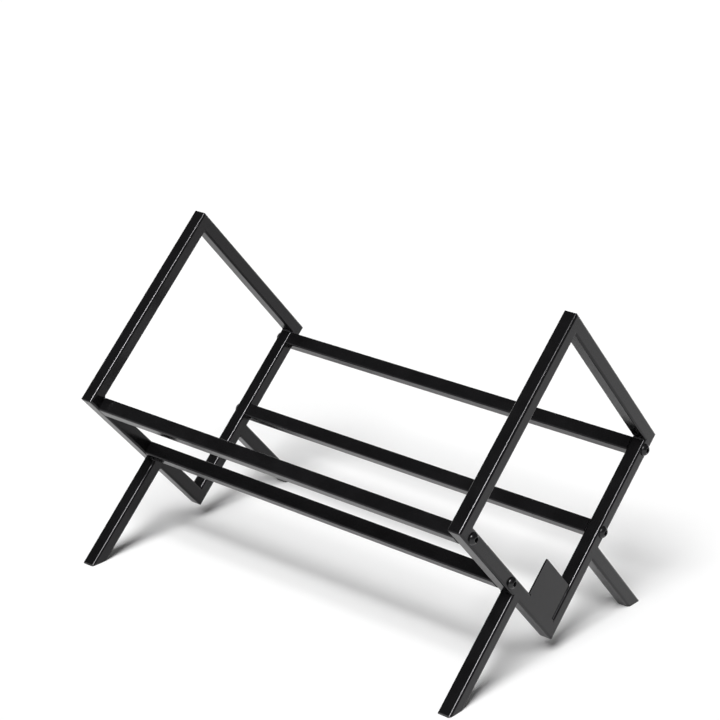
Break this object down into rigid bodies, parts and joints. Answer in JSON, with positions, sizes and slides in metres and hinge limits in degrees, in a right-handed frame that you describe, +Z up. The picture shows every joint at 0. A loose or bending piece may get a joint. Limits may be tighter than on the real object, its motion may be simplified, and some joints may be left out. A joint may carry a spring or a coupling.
{
  "type": "record storage stand",
  "caption": "Open steel-tube stand that holds a row of records on their corners in a V-shaped cradle between two square end frames on splayed legs.",
  "frame": {"origin": "on the floor under the middle of the stand, which is the bottom centre of its box", "axes": "+X along the stand towards the end with the corner plate, +Y to the rear, +Z up"},
  "size_m": [0.4116, 0.2816, 0.2967],
  "materials": {
    "powder_coat": "satin black powder coat on steel tube",
    "black_steel": "black oxide",
    "zinc_steel": "zinc plated",
    "black_plastic": "moulded, matt"
  },
  "bodies": {
    "root": {"left_lower_front_bar": "powder_coat", "left_lower_rear_bar": "powder_coat", "left_upper_front_bar": "powder_coat", "left_upper_rear_bar": "powder_coat", "right_lower_front_bar": "powder_coat", "right_lower_rear_bar": "powder_coat", "right_upper_front_bar": "powder_coat", "right_upper_rear_bar": "powder_coat", "left_front_leg": "powder_coat", "left_rear_leg": "powder_coat", "right_front_leg": "powder_coat", "right_rear_leg": "powder_coat", "corner_plate": "powder_coat", "front_lower_rail": "powder_coat", "front_upper_rail": "powder_coat", "rear_lower_rail": "powder_coat", "rear_upper_rail": "powder_coat", "left_rail_plugs": "zinc_steel", "right_rail_plugs": "zinc_steel", "left_rail_bolts": "black_steel", "right_rail_bolts": "black_steel", "left_front_foot_cap": "black_plastic", "left_rear_foot_cap": "black_plastic", "right_front_foot_cap": "black_plastic", "right_rear_foot_cap": "black_plastic"}
  },
  "joints": []
}
